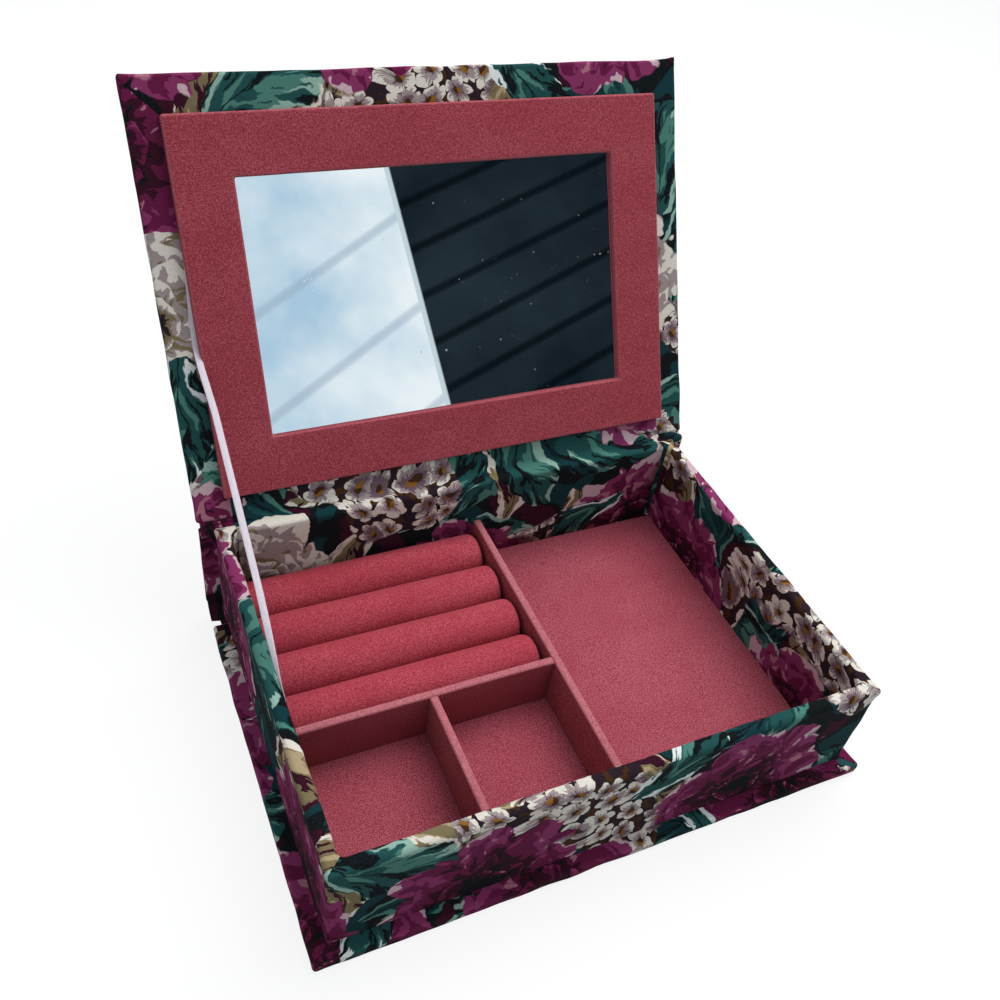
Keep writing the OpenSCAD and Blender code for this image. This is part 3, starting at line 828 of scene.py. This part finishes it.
def arc(centre, radius, start, end, steps):
    """Points (y, z) along an arc; angles in degrees."""
    turns = [math.radians(start + (end - start) * i / steps) for i in range(steps + 1)]
    return [(centre[0] + radius * math.cos(t), centre[1] + radius * math.sin(t)) for t in turns]


def lid_yz(v, n):
    """The point (y, z) that is v along the lid from its axis and n out of its inner face."""
    p = ON_LID @ Vector((0, v, n))
    return p.y, p.z


def runs_along(path):
    """How far each point of a path is from its start, measured along the path."""
    runs = [0.0]
    for a, b in zip(path, path[1:]):
        runs.append(runs[-1] + math.dist(a, b))
    return runs


def strip(path, width, steps, start):
    """A sheet across the box along path, a list of (y, z), with the print laid along it."""
    bm = bmesh.new()
    verts = [bm.verts.new((-width / 2, y, z)) for y, z in path]
    edges = [bm.edges.new(pair) for pair in zip(verts, verts[1:])]
    runs = runs_along(path)
    for _ in range(steps):
        edges, fresh = grow(bm, edges)
        bmesh.ops.translate(bm, vec=(width / steps, 0, 0), verts=fresh)
    bmesh.ops.recalc_face_normals(bm, faces=bm.faces)
    uv = bm.loops.layers.uv.new("cloth")
    run_at = {(round(y, 4), round(z, 4)): run for (y, z), run in zip(path, runs)}
    for face in bm.faces:
        for loop in face.loops:
            p = loop.vert.co
            key = min(run_at, key=lambda k: (k[0] - p.y) ** 2 + (k[1] - p.z) ** 2)
            loop[uv].uv = ((p.x + start[0]) / 10, (run_at[key] + start[1]) / 10)
    return bm, runs[-1]


def thicken(piece, thick):
    """Gives a sheet its thickness, half of it to each side."""
    solid = piece.modifiers.new("cloth_thickness", "SOLIDIFY")
    solid.thickness = thick * MM
    solid.offset = 0.0


def make_back_cloth():
    """Outer cloth from the base round the joint, up the spine and over the hinge to the lid."""
    half_t = CLOTH_T / 2
    proud = 0.05
    joint_r = 8.0
    fold_r = 1.5
    spine_y = SPINE_HIGH.y - half_t + proud
    joint_y = spine_y - joint_r + half_t
    fold_v = half_t - fold_r - proud
    lean = math.radians(LID_LEAN)
    fold_n = (PIVOT.y + fold_v * math.cos(lean) - spine_y - fold_r) / math.sin(lean)
    path = [(BASE_HIGH.y + step, half_t) for step in (-1.0, 1.5)]
    path += arc((joint_y, joint_r), joint_r - half_t, -90, 0, 16)
    path += [(spine_y, z) for z in (9.5, 14, 20, 26, 32, 38, 44, 49)]
    path += arc(lid_yz(fold_v, fold_n), fold_r, 180, LID_LEAN, 8)
    path += [lid_yz(half_t - proud, -2.3), lid_yz(half_t - proud, CASE_EDGE - LID_T)]
    width = CASE_W - 1.0
    bm, length = strip(path, width, 24, (0.0, 82.0))
    for vert in bm.verts:
        short = JOINT_SHORT if vert.co.z < 0.3 else FOLD_SHORT * min(1.0, max(0.0, vert.co.z - 48.0))
        vert.co.x *= 1.0 - 2 * short / width
    cloth = put("back_cloth", bm, PRINTED, None, ["base_joint_cloth", "lid_hinge_cloth"])
    thicken(cloth, CLOTH_T)
    start = Vector((0, spine_y, RIM_Z)) * MM
    end = Vector((0, *lid_yz(half_t, -0.9))) * MM
    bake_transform(cloth, "box", "lid", start=start, end=end)


def make_hinge_liner():
    """Inner cloth from the tray's floor up its back wall, over the rim and on to the lid."""
    half_t = LINER_T / 2
    wall_y = INNER_BACK - half_t
    over_z = RIM_Z + half_t
    soft = RIM_ROUND + half_t
    path = [(wall_y, CARD_Z + 0.9), (wall_y, 14.0), (wall_y, 24.0), (wall_y, 34.0), (wall_y, 43.0)]
    path += arc((wall_y + soft, over_z - soft), soft, 180, 90, 6)
    bend_y = SPINE_HIGH.y - 1.2
    path += [(wall_y + 4.5, over_z), (bend_y, over_z + 0.1), (PIVOT.y - 0.35, PIVOT.z - 0.7)]
    path += [lid_yz(v, half_t) for v in (0.8, 1.6, 4.0, 7.0, PANEL_V0 - 0.1)]
    width = 2 * (INNER_X - LINER_MARGIN)
    bm, length = strip(path, width, 40, (-24.0, 410.0))
    liner = put("hinge_liner", bm, PRINTED, None, ["hinge_liner_tray", "hinge_liner_lid"])
    thicken(liner, LINER_T)
    start = Vector((0, bend_y, over_z)) * MM
    end = Vector((0, *lid_yz(1.2, half_t))) * MM
    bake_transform(liner, "box", "lid", start=start, end=end)


# ---- suede pieces

def make_lining(name, node, material, radius, seed, worn_and_highlit_top=False):
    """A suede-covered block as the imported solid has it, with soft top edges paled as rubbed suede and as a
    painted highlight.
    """
    bm = block(*node_box(node))
    top = max(v.co.z for v in bm.verts)
    round_off(bm, [e for e in bm.edges if middle(e).z > top - 0.01], radius, 0.5)
    if worn_and_highlit_top:
        wear_and_highlight = bm.verts.layers.float["wear_and_highlight"]
        for vert in bm.verts:
            # the top face is paled too: a painted highlight on the upward face, with some rubbing
            if vert.co.z > top - 0.5 * radius:
                vert[wear_and_highlight] = 0.8
    slice_up(bm, 5.0)
    ruffle(bm, 0.12, 9.0, seed)
    even_shading(put(name, bm, material, "box", [node]))


def make_mirror_frame():
    """The suede frame round the mirror: outer and window edges softly rounded, paled as rubbed suede and as a
    painted highlight.
    """
    half_w, half_l = FRAME_HALF_W, (PANEL_V1 - PANEL_V0) / 2
    mid_v = (PANEL_V0 + PANEL_V1) / 2
    bm = block(Vector((-half_w, -half_l, 0)), Vector((half_w, half_l, FRAME_T)))
    window = [(Vector((sx * WINDOW_HALF_W, 0, 0)), Vector((1, 0, 0))) for sx in (-1, 1)]
    window += [(Vector((0, v - mid_v, 0)), Vector((0, 1, 0))) for v in (WINDOW_V0, WINDOW_V1)]
    for at, way in window:
        cut(bm, at, way, snap=0.0)
    inside = [f for f in bm.faces if abs(f.normal.z) > 0.9
              and abs(f.calc_center_median().x) < WINDOW_HALF_W
              and WINDOW_V0 < f.calc_center_median().y + mid_v < WINDOW_V1]
    bmesh.ops.delete(bm, geom=inside, context="FACES_ONLY")
    bmesh.ops.bridge_loops(bm, edges=[e for e in bm.edges if len(e.link_faces) == 1])
    bmesh.ops.recalc_face_normals(bm, faces=bm.faces)
    round_off(bm, [e for e in sharp(bm) if middle(e).z > 0.1], 1.0, 0.3)
    slice_up(bm, 6.0)
    ruffle(bm, 0.12, 12.0, seed=8.0)
    place = ON_LID @ Matrix.Translation((FRAME_X, mid_v, 0))
    even_shading(put("mirror_frame", bm, SUEDE, "lid", ["mirror_frame_cover"], place))


# ---- ring rolls

def make_ring_roll(number):
    """One padded roll along X: rounded ends, flat on its bed, with soft uneven padding."""
    low, high = node_box(f"ring_roll_cover_{number}")
    radius = (high.y - low.y) / 2
    centre = Vector((0, (low.y + high.y) / 2, high.z - radius))
    end, rows, spokes = 3.4, 44, 40
    length = high.x - low.x
    rounding = [(end * (1 - math.cos(t)), radius - end * (1 - math.sin(t)))
                for t in (math.radians(a) for a in range(0, 90, 15))]
    stations = rounding + [(end + (length - 2 * end) * i / rows, radius) for i in range(rows + 1)]
    stations += [(length - x, r) for x, r in reversed(rounding)]
    bm = bmesh.new()
    along_x = Matrix.Rotation(math.radians(90), 4, "Y")
    ring = bmesh.ops.create_circle(bm, cap_ends=True, segments=spokes, radius=stations[0][1],
                                   matrix=Matrix.Translation((low.x, 0, 0)) @ along_x)["verts"]
    edges = list({e for v in ring for e in v.link_edges})
    for (x0, r0), (x1, r1) in zip(stations, stations[1:]):
        edges, fresh = grow(bm, edges)
        bmesh.ops.scale(bm, vec=(1, r1 / r0, r1 / r0), verts=fresh)
        bmesh.ops.translate(bm, vec=(x1 - x0, 0, 0), verts=fresh)
    bmesh.ops.contextual_create(bm, geom=edges)
    for face in [f for f in bm.faces if len(f.verts) == spokes]:
        bmesh.ops.inset_region(bm, faces=[face], thickness=2.0, use_even_offset=True)
        bmesh.ops.poke(bm, faces=[face])
    for vert in bm.verts:
        p = vert.co
        wave = noise.noise(Vector((p.x / 26, p.y / 9, p.z / 9 + 7 * number)))
        ripple = noise.noise(Vector((p.x / 7, p.y / 5, p.z / 5 - 5 * number)))
        out = Vector((0, p.y, p.z))
        if out.length > 1:
            vert.co -= out.normalized() * (0.16 + 0.22 * wave + 0.07 * ripple)
        vert.co += centre
        vert.co.z = max(vert.co.z, low.z)
    bmesh.ops.recalc_face_normals(bm, faces=bm.faces)
    roll = put(f"ring_roll_{number}", bm, LIT_ROLL_SUEDE, "box", [f"ring_roll_cover_{number}"])
    soft = roll.modifiers.new("soft", "SUBSURF")
    soft.levels = soft.render_levels = 1


# ---- ribbon stay

def make_ribbon_stay():
    """A flat ribbon, taut from beneath the mirror panel to the tray's wall, where it turns flat."""
    run = (RIBBON_FOOT - RIBBON_TOP).length
    way = (RIBBON_FOOT - RIBBON_TOP).normalized()
    side = way.cross(Vector((1, 0, 0)))
    flat = run - RIBBON_TAB

    def part_of(s, start, length):
        return max(0.0, min(1.0, (s - start) / length))

    def turn_at(s):
        return math.radians(90) * part_of(s, flat - RIBBON_TWIST, RIBBON_TWIST) ** 1.8

    def half_at(s):
        return RIBBON_W / 2 * math.cos(turn_at(s)) + RIBBON_T / 2 * math.sin(turn_at(s))

    def centre_at(s):
        over_tray = RIBBON_LID_X + RIBBON_SWING * part_of(s, RIBBON_CLEAR, RIBBON_LEAD)
        on_wall = -INNER_X + 0.05 + RIBBON_T
        edge = over_tray + (on_wall - over_tray) * turn_at(s) / math.radians(90)
        return Vector((edge - half_at(s), 0, 0)) + RIBBON_TOP + way * s

    def ring_at(s):
        across = math.cos(turn_at(s)) * Vector((1, 0, 0)) + math.sin(turn_at(s)) * side
        return centre_at(s), across, way.cross(across)

    stations = [flat * i / 60 for i in range(61)] + [run, run + RIBBON_TAB]
    rings = [ring_at(s) for s in stations]
    lid_way, lid_out = ON_LID.to_3x3() @ Vector((0, 1, 0)), ON_LID.to_3x3() @ Vector((0, 0, 1))
    under = []
    for i in range(1, 9):
        up = RIBBON_UNDER * i / 8
        drift = RIBBON_DRIFT * (up / RIBBON_UNDER) ** 1.3
        spot = centre_at(0.0) + Vector((drift, 0, 0)) + lid_way * up
        under.append((spot, Vector((1, 0, 0)), lid_out))
    rings = under[::-1] + rings

    bm = bmesh.new()
    side_of = bm.verts.layers.float.new("side")
    run_of = bm.verts.layers.float.new("run")
    path = [spot for spot, _, _ in rings]
    runs = runs_along(path)
    frames = [Matrix((across, out, out.cross(across))).transposed().to_4x4() for _, across, out in rings]
    frames = [Matrix.Translation(spot) @ turn for spot, turn in zip(path, frames)]
    ring = bmesh.ops.create_circle(bm, segments=8, radius=1.0)["verts"]
    for vert in ring:
        a, b = (math.copysign(min(1.0, abs(c) * 1.15), c) for c in vert.co.xy)
        vert[side_of] = a * RIBBON_W / 2
        vert.co = frames[0] @ Vector((a * RIBBON_W / 2, b * RIBBON_T / 2, 0))
    first = edges = list({e for v in ring for e in v.link_edges})
    for before, after, run_here in zip(frames, frames[1:], runs[1:]):
        edges, fresh = grow(bm, edges)
        bmesh.ops.transform(bm, matrix=after @ before.inverted(), verts=fresh)
        for vert in fresh:
            vert[run_of] = run_here
    bmesh.ops.contextual_create(bm, geom=first)
    bmesh.ops.contextual_create(bm, geom=edges)
    bmesh.ops.recalc_face_normals(bm, faces=bm.faces)
    uv = bm.loops.layers.uv.new("cloth")
    for face in bm.faces:
        for loop in face.loops:
            loop[uv].uv = (loop.vert[run_of] / 10, loop.vert[side_of] / 10)
    ribbon = put("ribbon", bm, RIBBON, None, ["ribbon_stay"])
    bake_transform(ribbon, "box", "lid", start=centre_at(flat) * MM, end=centre_at(0.0) * MM)
    path[0] * MM
    [p * MM for p in path]


# ---- studio

def stage_plane(name, size, place, material):
    """A plane that belongs to the studio and not to the object."""
    bm = bmesh.new()
    bmesh.ops.create_grid(bm, x_segments=1, y_segments=1, size=0.5,
                          matrix=place @ Matrix.Diagonal((*size, 1, 1)))
    made = show(name, bm, material)
    return made


def make_floor():
    """Pale floor: white to the camera, with the object's soft shadow."""
    loom = Loom("pale_floor")
    seen = loom.node("ShaderNodeLightPath", {}, {}, "Is Camera Ray")
    tone = loom.mix(seen, (0.42, 0.42, 0.42, 1.0), (0.9, 0.9, 0.9, 1.0))
    base = loom.node("ShaderNodeBsdfDiffuse", {}, {"Color": tone}, "BSDF")
    loom.surface(loom.blend(seen * 0.84, base, loom.glow(PAPER_WHITE)))
    stage_plane("floor", (8.0, 8.0), Matrix.Translation((0, 0, -0.0002)), loom.material)


def make_world():
    """Soft daylight all round, behind a ground that looks plain white."""
    world = bpy.data.worlds.new("studio")
    bpy.context.scene.world = world
    world.use_nodes = True
    loom = Loom.on(world.node_tree)
    daylight = loom.node("ShaderNodeBackground", {}, {"Color": (0.88, 0.94, 1.0, 1.0), "Strength": 0.72},
                         "Background")
    white = loom.node("ShaderNodeBackground", {}, {"Color": PAPER_WHITE}, "Background")
    camera, gloss, through = loom.node("ShaderNodeLightPath", {}, {}, "Is Camera Ray", "Is Glossy Ray",
                                       "Is Transmission Ray")
    seen = loom.math("MAXIMUM", loom.math("MAXIMUM", camera, gloss), through)
    loom.surface(loom.blend(seen, daylight, white), "ShaderNodeOutputWorld")


def make_key_lamp():
    """A broad soft lamp high up at the back right, aimed at the origin."""
    place = Vector((0.45, 0.3, 1.05))
    lamp = bpy.data.lights.new("key", "AREA")
    lamp.shape = "DISK"
    lamp.size = 1.0
    lamp.energy = 12.5
    made = bpy.data.objects.new("key", lamp)
    made.location = place
    made.visible_glossy = False
    made.rotation_euler = (-place).to_track_quat("-Z", "Y").to_euler()
    bpy.context.scene.collection.objects.link(made)


def slanted_bars(loom, place, slope, first, pitch, thin):
    """A mask of soft bars that rise with x at slope and stand a pitch apart, none above the first."""
    x, _, z = loom.split(place)
    height = z - x * slope - first
    wave = loom.math("COSINE", height * (TURN / pitch))
    return loom.over(wave, thin, 0.9 * (1 - thin)) * loom.over(0.5 * pitch - height, 0.0, SHARP)


def reflected_card(name, painted, size, centre):
    """An upright glowing card that only the mirror shows; painted gives its colour from its place."""
    loom = Loom(name)
    place = loom.node("ShaderNodeTexCoord", {}, {}, "Object")
    loom.surface(loom.glow(painted(loom, place, loom.split(place)[0])))
    upright = Matrix.Translation(centre) @ Matrix.Rotation(math.radians(90), 4, "X")
    card = stage_plane(name, size, upright, loom.material)
    card.visible_camera = False
    card.visible_diffuse = False
    card.visible_shadow = False


def pale_sky(loom, place, across):
    """Bright sky with soft clouds, lighter to the right, behind faint bars."""
    cloud = loom.noise(place, 3.2, 4.0, flat=False)
    bright = loom.over(cloud + (across - 0.6) * 0.5, 0.5, 0.2)
    colour = loom.mix(bright, (0.43, 0.63, 0.79, 1.0), (0.9, 0.97, 1.0, 1.0))
    bars = slanted_bars(loom, place, 0.535, 0.83, 0.292, 0.95)
    return loom.mix(bars * 0.55, colour, (0.35, 0.46, 0.58, 1.0))


def dark_roof(loom, place, across):
    """Dark roof with darker bars and a pale left edge."""
    shade = loom.noise(place, 4.5, 3.0, flat=False)
    colour = loom.mix(loom.over(shade, 0.5, 0.2), (0.006, 0.012, 0.018, 1.0), (0.018, 0.03, 0.04, 1.0))
    bars = slanted_bars(loom, place, 0.34, 0.767, 0.11, 0.86)
    colour = loom.mix(bars * 0.75, colour, (0.001, 0.003, 0.005, 1.0))
    return loom.mix(loom.over(across, 0.6, 0.002), (0.6, 0.72, 0.76, 1.0), colour)


def make_camera():
    """The photograph's viewpoint, from its perspective."""
    eye = Vector((-152.4, -216.3, 344.0)) * MM
    forward = Vector((0.3713, 0.6347, -0.6777)).normalized()
    down = Vector((-0.1931, -0.6612, -0.7250))
    right = down.cross(forward).normalized()
    down = forward.cross(right)
    camera = bpy.data.objects.new("camera", bpy.data.cameras.new("camera"))
    rows = Matrix((right, -down, -forward)).transposed()
    camera.matrix_world = Matrix.Translation(eye) @ rows.to_4x4()
    camera.data.sensor_width = 36.0
    camera.data.lens = 35.64
    camera.data.shift_x = -0.0011
    camera.data.shift_y = 0.0107
    camera.data.clip_start = 0.01
    bpy.context.scene.collection.objects.link(camera)
    bpy.context.scene.camera = camera


make_camera()
make_ribbon_stay()
make_base_wrap()
make_lid_wrap()
make_spine_wrap()
make_tray_wrap()
make_back_cloth()
make_hinge_liner()
make_mirror_frame()
for number in range(1, 5):
    make_ring_roll(number)
for seed, (floor, node) in enumerate([
        ("large_floor", "large_floor_lining"),
        ("small_floor_left", "small_floor_lining_left"),
        ("small_floor_right", "small_floor_lining_right")]):
    make_lining(floor, node, LIT_FLOOR_SUEDE, 0.5, 11.0 + seed)
for seed, divider in enumerate(["long_divider", "cross_divider", "short_divider"]):
    make_lining(divider, f"{divider}_cover", SUEDE, 1.0, 14.0 + seed, worn_and_highlit_top=True)

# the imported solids, of which those that no piece replaces stay in view
FINISHES = {"suede": SUEDE, "grey_board": GREY_BOARD, "foam": FOAM,
            "printed_cloth": PRINTED, "ribbon": RIBBON, "mirror": MIRROR}
SLOTS = {part["node"]: part["material_slot"] for part in frame["record"]["subparts"]}
for name, node in frame["nodes"].items():
    node.data.materials.clear()
    node.data.materials.append(FINISHES[SLOTS[name]])

make_floor()
make_world()
reflected_card("pale_card", pale_sky, (4.0, 4.0), (0.9, -2.2, 1.2))
reflected_card("dark_card", dark_roof, (1.6, 2.4), (1.388, -1.5, 1.0))
make_key_lamp()

scene = bpy.context.scene
scene.view_settings.view_transform = "Standard"
